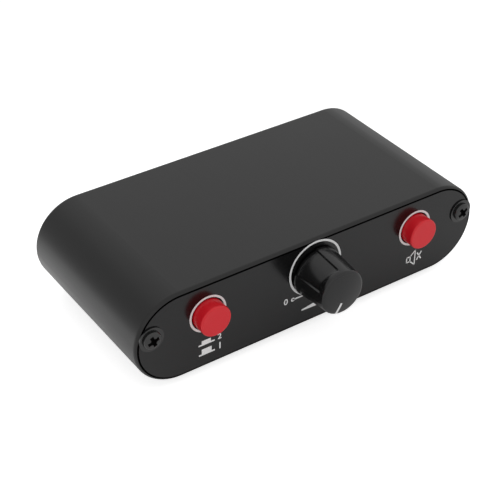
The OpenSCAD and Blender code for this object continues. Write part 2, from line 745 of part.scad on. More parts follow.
placed() insulator(socket_pitch / 2, red);  // input_2_red_insulator
placed() pair_contacts(0);  // input_2_contacts
placed() pair_block(pair_x);  // output_block
placed() pair_barrels(pair_x);  // output_barrels
placed() insulator(pair_x - socket_pitch / 2, white);  // output_white_insulator
placed() insulator(pair_x + socket_pitch / 2, red);  // output_red_insulator
placed() pair_contacts(pair_x);  // output_contacts
placed() block_screws();
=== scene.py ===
"""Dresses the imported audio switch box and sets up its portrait.

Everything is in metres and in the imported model's own frame: X to the right as seen
from the front, Y towards the sockets, Z up, with the origin on the table below the
middle of the box. Sizes of the box's own pieces are written in millimetres, as a
drawing of it would have them, and go through MM.
"""

from __future__ import annotations

import logging
import math
from dataclasses import dataclass
from enum import Enum
from typing import Any, Iterable, Sequence

import bmesh
import bpy
from mathutils import Matrix, Vector

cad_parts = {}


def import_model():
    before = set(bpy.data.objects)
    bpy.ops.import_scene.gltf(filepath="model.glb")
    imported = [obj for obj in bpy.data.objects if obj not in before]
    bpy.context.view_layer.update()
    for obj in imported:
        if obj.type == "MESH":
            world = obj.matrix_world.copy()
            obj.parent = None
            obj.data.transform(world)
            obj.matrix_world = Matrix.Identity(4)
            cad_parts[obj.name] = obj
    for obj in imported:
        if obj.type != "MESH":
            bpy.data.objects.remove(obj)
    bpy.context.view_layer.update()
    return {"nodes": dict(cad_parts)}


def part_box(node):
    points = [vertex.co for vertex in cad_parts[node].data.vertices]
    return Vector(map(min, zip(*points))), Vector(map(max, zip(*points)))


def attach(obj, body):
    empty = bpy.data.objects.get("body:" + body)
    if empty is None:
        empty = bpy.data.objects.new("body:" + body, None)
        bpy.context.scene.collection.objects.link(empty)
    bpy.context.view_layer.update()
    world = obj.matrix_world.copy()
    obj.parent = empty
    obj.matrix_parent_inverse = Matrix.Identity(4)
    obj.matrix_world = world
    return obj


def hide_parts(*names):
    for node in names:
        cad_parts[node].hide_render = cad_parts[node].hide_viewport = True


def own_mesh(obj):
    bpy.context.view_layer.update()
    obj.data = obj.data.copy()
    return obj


log = logging.getLogger("switch_box")

MM = 0.001
# Distances in millimetres at which two points count as one
NEAR = 1e-4
NEARER = 1e-5
BLACK = (0.0, 0.0, 0.0, 1.0)
WHITE = (1.0, 1.0, 1.0, 1.0)
NOISE_MIDDLE = 0.5
# A tone goes up to this many times a finish's colour
TONE_ROOM = 2.0
Colour = tuple[float, float, float]
Point = tuple[float, float]
Pair = tuple[float, float]
Sockets = dict[str, bpy.types.NodeSocket]


# Node trees


class NodeSheet:
    """Adds nodes to one node tree and joins them by socket name."""

    def __init__(self, tree: bpy.types.NodeTree) -> None:
        """Starts on a tree.

        Args:
            tree: The material's, world's or group's node tree.
        """
        self.tree = tree

    def add(self, kind: str, inputs: dict[Any, Any] | None = None, **settings: Any) -> bpy.types.Node:
        """Adds one node.

        Args:
            kind: The node's type name.
            inputs: Socket name or number to a plain value, or to an output socket to link.
            settings: Properties of the node itself.

        Returns:
            The new node.
        """
        node = self.tree.nodes.new(kind)
        for key, value in settings.items():
            setattr(node, key, value)
        for key, value in (inputs or {}).items():
            if isinstance(value, bpy.types.NodeSocket):
                self.tree.links.new(value, node.inputs[key])
            else:
                node.inputs[key].default_value = value
        return node

    def math(self, operation: str, *values: Any) -> bpy.types.NodeSocket:
        """Adds a Math node and returns its result."""
        return self.add("ShaderNodeMath", dict(enumerate(values)), operation=operation).outputs[0]

    def vectors(self, operation: str, *values: Any) -> bpy.types.NodeSocket:
        """Adds a Vector Math node and returns its plain value."""
        return self.add("ShaderNodeVectorMath", dict(enumerate(values)), operation=operation).outputs["Value"]

    def ramp(
        self, value: Any, low: float, high: float, to_low: float, to_high: float
    ) -> bpy.types.NodeSocket:
        """Maps a value smoothly from one span to another and returns the result."""
        inputs = {"Value": value, "From Min": low, "From Max": high, "To Min": to_low, "To Max": to_high}
        return self.add("ShaderNodeMapRange", inputs, interpolation_type="SMOOTHSTEP").outputs["Result"]

    def noise(
        self, vector: Any, scale: Any, detail: float = 2.0, roughness: float = 0.5
    ) -> bpy.types.NodeSocket:
        """Adds a Noise Texture node and returns its value."""
        inputs = {"Vector": vector, "Scale": scale, "Detail": detail, "Roughness": roughness}
        return self.add("ShaderNodeTexNoise", inputs).outputs["Fac"]

    def swing(self, noise: bpy.types.NodeSocket, amount: Any) -> bpy.types.NodeSocket:
        """Returns how far a noise is from its middle, times an amount."""
        return self.math("MULTIPLY", self.math("SUBTRACT", noise, NOISE_MIDDLE), amount)

    def object_coordinates(self) -> bpy.types.NodeSocket:
        """Adds the object's own coordinates and returns them."""
        return self.add("ShaderNodeTexCoord").outputs["Object"]


class EffectGroup:
    """A shader node group with named inputs and outputs, built once and shared.

    Attributes:
        label: The group's name.
        ins: Name, socket type and first value of each input.
        outs: Name and socket type of each output.
    """

    label = ""
    ins: tuple[tuple[str, str, float], ...] = ()
    outs: tuple[tuple[str, str], ...] = ()

    @classmethod
    def tree(cls) -> bpy.types.ShaderNodeTree:
        """Finds the group's node tree, which the first call builds.

        Returns:
            The node tree.
        """
        found = bpy.data.node_groups.get(cls.label)
        if found:
            return found
        tree = bpy.data.node_groups.new(cls.label, "ShaderNodeTree")
        for name, kind, value in cls.ins:
            socket = tree.interface.new_socket(name=name, in_out="INPUT", socket_type=kind)
            if kind == "NodeSocketFloat":
                socket.default_value = value
        for name, kind in cls.outs:
            tree.interface.new_socket(name=name, in_out="OUTPUT", socket_type=kind)
        sheet = NodeSheet(tree)
        given = sheet.add("NodeGroupInput").outputs
        results = cls.wire(sheet, {name: given[name] for name, _, _ in cls.ins})
        sheet.add("NodeGroupOutput", results)
        return tree

    @classmethod
    def wire(cls, sheet: NodeSheet, given: Sockets) -> Sockets:
        """Wires the group's inside and returns a socket for each output."""
        raise NotImplementedError

    @classmethod
    def place(cls, sheet: NodeSheet, **values: Any) -> bpy.types.Node:
        """Puts the group into a material with its own values.

        Args:
            sheet: The material's node tree.
            values: Input name, in small letters, to a plain value or to an output socket to link.

        Returns:
            The group's node.
        """
        node = sheet.add("ShaderNodeGroup", node_tree=cls.tree())
        for name, value in values.items():
            socket = node.inputs[name.replace("_", " ").title()]
            if isinstance(value, bpy.types.NodeSocket):
                sheet.tree.links.new(value, socket)
            else:
                socket.default_value = value
        return node


class BlastedGrain(EffectGroup):
    """The fine even grain that bead blasting leaves under an anodised layer.

    Attributes:
        fine_share: Share of the fine grain, beside the slow cloudiness.
        tone_gain: How much more the shade varies than the roughness.
    """

    label = "Blasted Grain"
    ins = (
        ("Coordinates", "NodeSocketVector", 0.0),
        ("Grain", "NodeSocketFloat", 4200.0),
        ("Cloud", "NodeSocketFloat", 60.0),
        ("Strength", "NodeSocketFloat", 0.1),
    )
    outs = (("Tone", "NodeSocketFloat"), ("Roughness", "NodeSocketFloat"), ("Height", "NodeSocketFloat"))
    fine_share = 0.6
    tone_gain = 2.0

    @classmethod
    def wire(cls, sheet: NodeSheet, given: Sockets) -> Sockets:
        """Mixes a fine grain with a slow cloudiness.

        Args:
            sheet: The group's node tree.
            given: Input name to its socket.

        Returns:
            Output name to the socket that feeds it.
        """
        fine = sheet.noise(given["Coordinates"], given["Grain"], detail=3.0, roughness=0.6)
        cloud = sheet.noise(given["Coordinates"], given["Cloud"])
        shares = (
            sheet.math("MULTIPLY", fine, cls.fine_share),
            sheet.math("MULTIPLY", cloud, 1.0 - cls.fine_share),
        )
        both = sheet.math("ADD", *shares)
        swing = sheet.swing(both, given["Strength"])
        return {
            "Tone": sheet.math("ADD", sheet.math("MULTIPLY", swing, cls.tone_gain), 1.0),
            "Roughness": swing,
            "Height": fine,
        }


class DieLines(EffectGroup):
    """Faint straight lines along an extrusion's length, as the die leaves them."""

    label = "Die Lines"
    ins = (
        ("Coordinates", "NodeSocketVector", 0.0),
        ("Pitch", "NodeSocketFloat", 900.0),
        ("Stretch", "NodeSocketFloat", 0.01),
    )
    outs = (("Lines", "NodeSocketFloat"),)

    @classmethod
    def wire(cls, sheet: NodeSheet, given: Sockets) -> Sockets:
        """Draws out a noise along the box's length.

        Args:
            sheet: The group's node tree.
            given: Input name to its socket.

        Returns:
            Output name to the socket that feeds it.
        """
        parts = sheet.add("ShaderNodeSeparateXYZ", {"Vector": given["Coordinates"]}).outputs
        drawn = sheet.add(
            "ShaderNodeCombineXYZ",
            {"X": parts["X"], "Y": sheet.math("MULTIPLY", parts["Y"], given["Stretch"]), "Z": parts["Z"]},
        ).outputs["Vector"]
        return {"Lines": sheet.noise(drawn, given["Pitch"])}


class TurnedLines(EffectGroup):
    """Fine rings round a piece that was turned on a lathe with its axis along Y."""

    label = "Turned Lines"
    ins = (("Coordinates", "NodeSocketVector", 0.0), ("Pitch", "NodeSocketFloat", 3500.0))
    outs = (("Lines", "NodeSocketFloat"),)

    @classmethod
    def wire(cls, sheet: NodeSheet, given: Sockets) -> Sockets:
        """Reads a noise along the axis alone.

        Args:
            sheet: The group's node tree.
            given: Input name to its socket.

        Returns:
            Output name to the socket that feeds it.
        """
        parts = sheet.add("ShaderNodeSeparateXYZ", {"Vector": given["Coordinates"]}).outputs
        noise = sheet.add(
            "ShaderNodeTexNoise",
            {"W": sheet.math("MULTIPLY", parts["Y"], given["Pitch"]), "Scale": 1.0, "Detail": 2.0},
            noise_dimensions="1D",
        )
        return {"Lines": noise.outputs["Fac"]}


class MouldSkin(EffectGroup):
    """The skin of a moulded plastic: spark-eroded pits and a slow drift of gloss."""

    label = "Mould Skin"
    ins = (
        ("Coordinates", "NodeSocketVector", 0.0),
        ("Pits", "NodeSocketFloat", 3000.0),
        ("Drift", "NodeSocketFloat", 120.0),
        ("Strength", "NodeSocketFloat", 0.1),
    )
    outs = (("Tone", "NodeSocketFloat"), ("Roughness", "NodeSocketFloat"), ("Height", "NodeSocketFloat"))

    @classmethod
    def wire(cls, sheet: NodeSheet, given: Sockets) -> Sockets:
        """Mixes small cells with a soft noise.

        Args:
            sheet: The group's node tree.
            given: Input name to its socket.

        Returns:
            Output name to the socket that feeds it.
        """
        pits = sheet.add(
            "ShaderNodeTexVoronoi",
            {"Vector": given["Coordinates"], "Scale": given["Pits"]},
            feature="SMOOTH_F1",
        ).outputs["Distance"]
        drift = sheet.noise(given["Coordinates"], given["Drift"], detail=3.0, roughness=0.55)
        swing = sheet.swing(drift, given["Strength"])
        return {"Tone": sheet.math("ADD", swing, 1.0), "Roughness": swing, "Height": pits}


# Finishes


class Texture(Enum):
    """The texture that a finish carries."""

    BLASTED = "blasted"
    DRAWN = "drawn"
    TURNED = "turned"
    MOULDED = "moulded"


@dataclass(frozen=True)
class Finish:
    """One surface finish, built as a material on its first use.

    Attributes:
        name: The material's name.
        colour: Base colour, linear.
        roughness: Mean roughness.
        texture: What its relief and shade follow.
        metallic: 1 for bare metal.
        specular: Specular level, 0.5 for plain plastic.
        strength: How much the shade and the gloss vary.
        relief: Height of the relief, in millimetres.
        bump: How strongly the relief shows.
        line_height: What a die line adds to the relief.
        line_gloss: How much a die line changes the roughness.
    """

    name: str
    colour: Colour
    roughness: float
    texture: Texture = Texture.MOULDED
    metallic: float = 0.0
    specular: float = 0.5
    strength: float = 0.12
    relief: float = 0.004
    bump: float = 0.5
    line_height: float = 0.8
    line_gloss: float = 0.06

    def material(self) -> bpy.types.Material:
        """Finds the finish's material, which the first call makes.

        Returns:
            The material.
        """
        found = bpy.data.materials.get(self.name)
        if found:
            return found
        made = bpy.data.materials.new(self.name)
        made.use_nodes = True
        made.node_tree.nodes.clear()
        sheet = NodeSheet(made.node_tree)
        coordinates = sheet.object_coordinates()
        tone, rough, height = self._surface(sheet, coordinates)
        # A colour mix has its factor at socket 0, its colours at 6 and 7, and its result at 2
        brightest = (*(c * TONE_ROOM for c in self.colour), 1.0)
        shares = {6: BLACK, 7: brightest, 0: sheet.math("MULTIPLY", tone, 1.0 / TONE_ROOM)}
        base = sheet.add("ShaderNodeMix", shares, data_type="RGBA").outputs[2]
        bump = sheet.add(
            "ShaderNodeBump", {"Height": height, "Strength": self.bump, "Distance": self.relief * MM}
        ).outputs["Normal"]
        shader = sheet.add(
            "ShaderNodeBsdfPrincipled",
            {
                "Base Color": base,
                "Metallic": self.metallic,
                "Roughness": rough,
                "Specular IOR Level": self.specular,
                "Normal": bump,
            },
        )
        sheet.add("ShaderNodeOutputMaterial", {"Surface": shader.outputs["BSDF"]})
        made.diffuse_color = (*self.colour, 1.0)
        return made

    def _surface(
        self, sheet: NodeSheet, coordinates: bpy.types.NodeSocket
    ) -> tuple[bpy.types.NodeSocket, ...]:
        """Wires tone, roughness and height for the finish's texture.

        Args:
            sheet: The material's node tree.
            coordinates: The object's coordinates.

        Returns:
            The sockets of tone, roughness and height.
        """
        if self.texture is Texture.MOULDED:
            skin = MouldSkin.place(sheet, coordinates=coordinates, strength=self.strength).outputs
        else:
            skin = BlastedGrain.place(sheet, coordinates=coordinates, strength=self.strength).outputs
        height = skin["Height"]
        rough = sheet.math("ADD", skin["Roughness"], self.roughness)
        if self.texture is Texture.DRAWN:
            lines = DieLines.place(sheet, coordinates=coordinates).outputs["Lines"]
            height = sheet.math("ADD", height, sheet.math("MULTIPLY", lines, self.line_height))
            rough = sheet.math("ADD", rough, sheet.swing(lines, self.line_gloss))
        if self.texture is Texture.TURNED:
            height = TurnedLines.place(sheet, coordinates=coordinates).outputs["Lines"]
        return skin["Tone"], rough, height


BLACK_SLEEVE = Finish("black_anodised_tube", (0.0025, 0.0025, 0.0025), 0.34, Texture.DRAWN, relief=0.001)
BLACK_PANEL = Finish("black_anodised_sheet", (0.0025, 0.0025, 0.0028), 0.2, Texture.BLASTED, relief=0.001)
WHITE_INK = Finish("white_screen_ink", (0.86, 0.86, 0.86), 0.45, strength=0.06, relief=0.003)
BLACK_STEEL = Finish("black_oxide_steel", (0.006, 0.006, 0.006), 0.2, Texture.BLASTED, specular=0.8)
# Darker, duller steel for the screws' cross recess: painted shade in the hollow, not a different metal
RECESS_SHADE_STEEL = Finish("painted_shade_recess_steel", (0.002, 0.002, 0.002), 0.85, Texture.BLASTED, specular=0.1)
KNOB_PLASTIC = Finish("satin_black_plastic", (0.003, 0.003, 0.0033), 0.24, specular=0.6, relief=0.001)
POINTER_WHITE = Finish("white_filled_line", (0.85, 0.85, 0.85), 0.5, strength=0.05)
CAP_RED = Finish("red_button_plastic", (0.71, 0.006, 0.016), 0.34, strength=0.08, relief=0.001)
FOOT_RUBBER = Finish("black_rubber", (0.02, 0.02, 0.02), 0.8, strength=0.3, relief=0.02)
NICKEL = Finish("nickel_plate", (0.66, 0.63, 0.57), 0.22, Texture.TURNED, metallic=1.0, relief=0.002)
GOLD = Finish("gold_plate", (0.83, 0.6, 0.26), 0.25, Texture.TURNED, metallic=1.0, relief=0.002)
ZINC = Finish("zinc_plated_steel", (0.6, 0.6, 0.6), 0.35, Texture.BLASTED, metallic=1.0)
TIN = Finish("tinned_pin", (0.72, 0.72, 0.7), 0.3, Texture.BLASTED, metallic=1.0)
SPRING_WIRE = Finish("spring_wire", (0.55, 0.55, 0.57), 0.25, Texture.BLASTED, metallic=1.0)
BLACK_MOULDING = Finish("black_moulding", (0.014, 0.014, 0.015), 0.5)
WHITE_MOULDING = Finish("natural_white_moulding", (0.78, 0.77, 0.72), 0.5)
SOCKET_WHITE = Finish("white_socket_moulding", (0.8, 0.8, 0.78), 0.4)
SOCKET_RED = Finish("red_socket_moulding", (0.45, 0.012, 0.012), 0.4)
CARBON = Finish("carbon_track_disc", (0.06, 0.042, 0.025), 0.6, strength=0.4)
BOARD = Finish("green_board_mask", (0.02, 0.14, 0.05), 0.35, strength=0.4)
RESISTOR = Finish("resistor_lacquer", (0.55, 0.42, 0.24), 0.35)

PAIRS = ("input_1", "input_2", "output")
BUTTONS = ("source", "mute")
SWITCHES = ("source_switch", "mute_switch")


def each(owners: Iterable[str], *pieces: str) -> tuple[str, ...]:
    """Returns the node names of pieces that several owners have alike."""
    return tuple(f"{owner}_{piece}" for piece in pieces for owner in owners)


NODE_FINISHES: dict[Finish, tuple[str, ...]] = {
    BLACK_SLEEVE: ("case_sleeve",),
    BLACK_PANEL: ("front_panel", "rear_panel"),
    BLACK_STEEL: ("front_panel_washers", "front_panel_screws", "rear_panel_screws", "block_screws"),
    FOOT_RUBBER: each(("foot_front", "foot_rear"), "left", "right"),
    BOARD: ("circuit_board",),
    RESISTOR: ("mute_resistors",),
    ZINC: ("pot_housing", "pot_rear_cover", "pot_washer"),
    NICKEL: ("pot_bush", "pot_nut", "pot_shaft", *each(PAIRS, "barrels", "contacts")),
    CARBON: ("pot_track_discs",),
    TIN: ("pot_terminals", *each(SWITCHES, "pins")),
    WHITE_MOULDING: ("pot_wipers", *each(SWITCHES, "plunger")),
    KNOB_PLASTIC: ("volume_knob",),
    POINTER_WHITE: ("knob_pointer",),
    BLACK_MOULDING: (*each(SWITCHES, "housing"), *each(PAIRS, "block")),
    GOLD: each(SWITCHES, "contacts"),
    SPRING_WIRE: each(SWITCHES, "spring"),
    CAP_RED: each(BUTTONS, "button"),
    SOCKET_WHITE: each(PAIRS, "white_insulator"),
    SOCKET_RED: each(PAIRS, "red_insulator"),
}


def dress_nodes(nodes: dict[str, bpy.types.Object]) -> None:
    """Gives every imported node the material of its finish.

    Args:
        nodes: Node name to its object.
    """
    for finish, names in NODE_FINISHES.items():
        for name in names:
            node = nodes[name]
            node.data.materials.clear()
            node.data.materials.append(finish.material())
            log.info("%s dressed with %s", name, finish.name)


def even_normals(node: bpy.types.Object) -> None:
    """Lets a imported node's large flats rule the shading where they run into its rounds.

    Args:
        node: The node's object.
    """
    even = node.modifiers.new("even_normals", "WEIGHTED_NORMAL")
    even.mode = "FACE_AREA"
    even.weight = 100
    even.keep_sharp = True


# Pieces


class Bench:
    """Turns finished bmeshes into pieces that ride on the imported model."""

    def __init__(self) -> None:
        """Starts with no pieces."""
        self.made: list[str] = []

    def piece(
        self,
        name: str,
        mesh: bmesh.types.BMesh,
        body: str,
        finish: Finish,
        slot: str,
        replaces: Sequence[str] = (),
        smooth: float = 35.0,
    ) -> bpy.types.Object:
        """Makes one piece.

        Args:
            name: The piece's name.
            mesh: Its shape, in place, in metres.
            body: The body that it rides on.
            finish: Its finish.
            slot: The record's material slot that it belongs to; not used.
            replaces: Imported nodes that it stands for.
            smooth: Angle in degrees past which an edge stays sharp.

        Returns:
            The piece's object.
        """
        data = bpy.data.meshes.new(name)
        mesh.to_mesh(data)
        mesh.free()
        data.shade_smooth()
        data.set_sharp_from_angle(angle=math.radians(smooth))
        data.materials.append(finish.material())
        made = bpy.data.objects.new(name, data)
        bpy.context.scene.collection.objects.link(made)
        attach(made, body)
        if replaces:
            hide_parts(*replaces)
        self.made.append(name)
        log.info("%s made, %d faces, rides on %s", name, len(data.polygons), body)
        return made


def turned(profile: Sequence[Point], steps: int) -> bmesh.types.BMesh:
    """Turns a half profile about the Y axis.

    Args:
        profile: Radius and distance of its points, from end to end of the axis.
        steps: Number of facets round it.

    Returns:
        The closed mesh, in the profile's own unit.
    """
    mesh = bmesh.new()
    verts = [mesh.verts.new((r, t, 0.0)) for r, t in profile]
    edges = [mesh.edges.new(pair) for pair in zip(verts, verts[1:])]
    bmesh.ops.spin(
        mesh, geom=verts + edges, cent=(0, 0, 0), axis=(0, 1, 0), dvec=(0, 0, 0),
        angle=math.tau, steps=steps, use_merge=True, use_duplicate=False,
    )
    bmesh.ops.remove_doubles(mesh, verts=mesh.verts, dist=NEAR)
    return mesh


def within(off: float, width: float, lip: float) -> float:
    """Returns 1 inside a band about 0, 0 outside it and a straight fall over its lip."""
    return min(1.0, max(0.0, (width / 2 + lip / 2 - off) / lip))


def eased(share: float) -> float:
    """Rounds both ends of a straight rise from 0 to 1."""
    return share * share * (3 - 2 * share)


@dataclass
class VolumeKnob:
    """The volume knob: a crowned face, a soft front edge, finger recesses and a hollow back.

    Lengths are in millimetres and run backwards from the middle of the face.

    Attributes:
        bench: Where pieces are made.
        axis: The shaft's X and Z, in metres.
        face_y: Y of the middle of the face, in metres.
        face_r: Radius of the face.
        base_r: Radius at the back.
        length: Length of the knob.
        crown: How far the middle of the face stands out past its edge.
        edge: Length of the front edge's rounding.
        edge_width: How far that rounding reaches into the face.
        recesses: Number of finger recesses.
        first: Direction of the first recess's middle, anticlockwise from the right.
        recess_angle: Width of a recess, in degrees.
        recess_depth: Depth of a recess.
        recess_end: Length of plain knob in front of a recess.
        recess_run: Length of the slope at a recess's front end.
        lip: Angle over which a recess's side falls, in degrees.
        groove_angle: Width of the groove between two recesses, in degrees.
        groove_lip: Angle over which a groove's side falls, in degrees.
        groove_depth: Depth of that groove.
        cavity_r: Radius of the hollow that clears the nut.
        cavity_d: Depth of that hollow.
        bore_r: Radius of the shaft's hole.
        roof: Thickness left in front of the shaft's hole.
        back_edge: Rounding of the back edge.
        back_middle: Distance of that rounding's middle from the back and from the side.
        skin: Depth under the side within which a point belongs to it.
        apart: Least distance between the front edge and the next point of the side.
        steps: Number of facets round the knob.
        dome_steps: Number of stretches across the face.
        edge_steps: Number of stretches over the front edge.
        run_steps: Number of stretches along the slope of a recess.
        side_steps: Number of stretches behind that slope.
        join_tries: How often the join's lean and angle are worked out from each other.
    """

    bench: Bench
    axis: Point
    face_y: float
    face_r: float = 7.1
    base_r: float = 8.2
    length: float = 13.2
    crown: float = 0.9
    edge: float = 0.9
    edge_width: float = 1.6
    recesses: int = 3
    first: float = 250.0
    recess_angle: float = 70.0
    recess_depth: float = 0.55
    recess_end: float = 1.9
    recess_run: float = 2.2
    lip: float = 2.0
    groove_angle: float = 3.0
    groove_lip: float = 1.0
    groove_depth: float = 0.2
    cavity_r: float = 5.6
    cavity_d: float = 3.2
    bore_r: float = 3.02
    roof: float = 2.5
    back_edge: float = 0.15
    back_middle: float = 0.04
    skin: float = 0.25
    apart: float = 0.05
    steps: int = 360
    dome_steps: int = 16
    edge_steps: int = 14
    run_steps: int = 10
    side_steps: int = 12
    join_tries: int = 20

    def _edge_join(self) -> tuple[float, float, float, float]:
        """Works out where the oval edge leaves the dome.

        Returns:
            The dome's radius, its lean at the join, the edge's angle there and the distance of its centre.
        """
        dome = (self.face_r**2 + self.crown**2) / (2 * self.crown)
        lean = angle = 0.0
        for _ in range(self.join_tries):
            lean = math.asin((self.face_r - self.edge_width * (1 - math.sin(angle))) / dome)
            angle = math.atan(self.edge_width / self.edge * math.tan(lean))
        return dome, lean, angle, dome * (1 - math.cos(lean)) + self.edge * math.cos(angle)

    def _side_r(self, t: float) -> float:
        """Returns the radius of the plain side at a distance behind the face."""
        start = self._edge_join()[3]
        return self.face_r + (self.base_r - self.face_r) * (t - start) / (self.length - start)

    def _profile(self) -> list[Point]:
        """Draws the half profile, from the face's middle to the bore's end.

        Returns:
            Radius and distance of its points.
        """
        dome, lean, angle, centre_t = self._edge_join()
        leans = [lean * i / self.dome_steps for i in range(self.dome_steps)]
        points = [(dome * math.sin(a), dome * (1 - math.cos(a))) for a in leans]
        angles = [angle + (math.pi / 2 - angle) * i / self.edge_steps for i in range(self.edge_steps + 1)]
        points += [
            (self.face_r - self.edge_width * (1 - math.sin(a)), centre_t - self.edge * math.cos(a))
            for a in angles
        ]
        start = points[-1][1]
        marks = [self.recess_end + self.recess_run * i / self.run_steps for i in range(self.run_steps + 1)]
        slope_end, back = marks[-1], self.length - self.back_edge
        marks += [
            slope_end + (back - slope_end) * i / self.side_steps for i in range(1, self.side_steps + 1)
        ]
        points += [(self._side_r(t), t) for t in marks if t > start + self.apart]
        points += [(self.base_r - self.back_middle, self.length - self.back_middle)]
        points += [(self.base_r - self.back_edge, self.length)]
        hollow = self.length - self.cavity_d
        points += [(self.cavity_r, self.length), (self.cavity_r, hollow), (self.bore_r, hollow)]
        return points + [(self.bore_r, self.roof), (0.0, self.roof)]

    def _press(self, mesh: bmesh.types.BMesh) -> None:
        """Presses the recesses and grooves into the side.

        Args:
            mesh: The plain knob, which the call changes.
        """
        pitch = 360.0 / self.recesses
        for vert in mesh.verts:
            radius = math.hypot(vert.co.x, vert.co.z)
            t = vert.co.y
            if radius < self._side_r(t) - self.skin or t < self.recess_end:
                continue
            angle = math.degrees(math.atan2(vert.co.z, vert.co.x)) - self.first
            off = abs((angle + pitch / 2) % pitch - pitch / 2)
            run = min(1.0, (t - self.recess_end) / self.recess_run)
            depth = self.recess_depth * eased(within(off, self.recess_angle, self.lip)) * eased(run)
            depth += self.groove_depth * within(pitch / 2 - off, self.groove_angle, self.groove_lip) * run
            vert.co.x *= (radius - depth) / radius
            vert.co.z *= (radius - depth) / radius

    def build(self) -> None:
        """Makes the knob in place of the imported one."""
        mesh = turned(self._profile(), self.steps)
        self._press(mesh)
        bmesh.ops.recalc_face_normals(mesh, faces=mesh.faces)
        bmesh.ops.scale(mesh, verts=mesh.verts, vec=(MM, MM, MM))
        bmesh.ops.translate(mesh, verts=mesh.verts, vec=(self.axis[0], self.face_y, self.axis[1]))
        self.bench.piece(
            "knob_body", mesh, "volume_control", KNOB_PLASTIC, "knob_black", ("volume_knob",), smooth=40.0
        )


class Panel(Enum):
    """The box's two panels, each as the direction along Y that it faces."""

    FRONT = -1
    REAR = 1

    def outer_y(self, node: str) -> float:
        """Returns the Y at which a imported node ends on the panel's outer side, in metres."""
        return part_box(node)[0 if self is Panel.FRONT else 1].y


@dataclass
class PanelScrews:
    """A panel's two screws: crowned heads with a cross recess, on plain shanks.

    Lengths are in millimetres and run inwards from the middle of a head's face.

    Attributes:
        bench: Where pieces are made.
        face_y: Y of the heads' faces, in metres.
        middle_z: Height of the screws, in metres.
        panel: The panel that they hold.
        reach: Distance from the box's middle to a screw.
        turns: Turn of the cross recess of the left and of the right screw, in degrees.
        head_r: Radius of a head.
        head_h: Height of a head.
        crown: How far the middle of the face stands out past its rounded edge.
        edge: Rounding of that edge.
        shank_r: Radius of the shank.
        length: Length over all.
        tip: Chamfer of the shank's end.
        cross_w: Width of a slot of the cross.
        cross_l: Half length of a slot.
        cross_d: Depth of the cross in its middle.
        end_d: Its depth at a slot's end.
        core_r: Radius of the round well in its middle.
        draft: How far a slot's wall leans.
        steps: Number of facets round a screw.
        face_steps: Number of stretches across its crown, and over the crown's edge.
    """

    bench: Bench
    face_y: float
    middle_z: float
    panel: Panel
    reach: float = 54.95
    turns: Pair = (20.0, 34.0)
    head_r: float = 2.79
    head_h: float = 1.2
    crown: float = 0.22
    edge: float = 0.6
    shank_r: float = 1.5
    length: float = 11.15
    tip: float = 0.4
    cross_w: float = 1.15
    cross_l: float = 1.78
    cross_d: float = 1.9
    end_d: float = 0.7
    core_r: float = 0.85
    draft: float = 0.12
    steps: int = 96
    face_steps: int = 8

    def _profile(self) -> list[Point]:
        """Draws the half profile, from the face's middle to the shank's end.

        Returns:
            Radius and distance of its points.
        """
        crown_r = self.head_r - self.edge
        shares = [i / self.face_steps for i in range(self.face_steps + 1)]
        points = [(crown_r * share, self.crown * share**2) for share in shares]
        points += [
            (crown_r + self.edge * math.sin(a), self.crown + self.edge * (1 - math.cos(a)))
            for a in (math.pi / 2 * share for share in shares[1:])
        ]
        points += [(self.head_r, self.head_h), (self.shank_r, self.head_h)]
        points += [(self.shank_r, self.length - self.tip), (self.shank_r - self.tip, self.length)]
        return points + [(0.0, self.length)]

    def _sink_cross(self, mesh: bmesh.types.BMesh) -> None:
        """Cuts the face along the slots' walls, sinks what lies between them and gives it the second
        material, a darker, duller steel that paints shade into the recess.

        Args:
            mesh: The plain screw, which the call changes.
        """
        marks = (self.cross_w / 2, self.cross_w / 2 - self.draft, self.cross_l, self.cross_l - self.draft)
        for normal in ((1, 0, 0), (0, 0, 1)):
            for at in (m * s for m in marks for s in (-1, 1)):
                face = [f for f in mesh.faces if f.calc_center_median().y < self.crown]
                parts = {*face, *(e for f in face for e in f.edges), *(v for f in face for v in f.verts)}
                bmesh.ops.bisect_plane(
                    mesh, geom=list(parts), dist=NEARER, plane_co=Vector(normal) * at, plane_no=normal
                )
        half, end = (size - self.draft + NEAR for size in (self.cross_w / 2, self.cross_l))
        for vert in mesh.verts:
            near, far = sorted((abs(vert.co.x), abs(vert.co.z)))
            in_core = math.hypot(near, far) < self.core_r
            if vert.co.y < self.crown and (in_core or (near < half and far < end)):
                vert.co.y += self.cross_d - (self.cross_d - self.end_d) * far / self.cross_l
                # The recess's faces take the second material, which is painted shade
                for face in vert.link_faces:
                    face.material_index = 1

    def build(self, name: str, node: str) -> None:
        """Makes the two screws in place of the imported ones.

        Args:
            name: The piece's name.
            node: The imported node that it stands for.
        """
        both = bmesh.new()
        for side, turn in zip((-1, 1), self.turns):
            mesh = turned(self._profile(), self.steps)
            self._sink_cross(mesh)
            place = (
                Matrix.Translation((-self.panel.value * side * self.reach * MM, self.face_y, self.middle_z))
                @ Matrix.Rotation(math.pi if self.panel is Panel.REAR else 0.0, 4, "Z")
                @ Matrix.Rotation(math.radians(-turn), 4, "Y")
                @ Matrix.Scale(MM, 4)
            )
            bmesh.ops.transform(mesh, matrix=place, verts=mesh.verts)
            bmesh.ops.recalc_face_normals(mesh, faces=mesh.faces)
            part = bpy.data.meshes.new(name + "_part")
            mesh.to_mesh(part)
            mesh.free()
            both.from_mesh(part)
            bpy.data.meshes.remove(part)
        made = self.bench.piece(name, both, "case", BLACK_STEEL, "black_screw", (node,))
        # The second material darkens the cross recess: painted shade
        made.data.materials.append(RECESS_SHADE_STEEL.material())


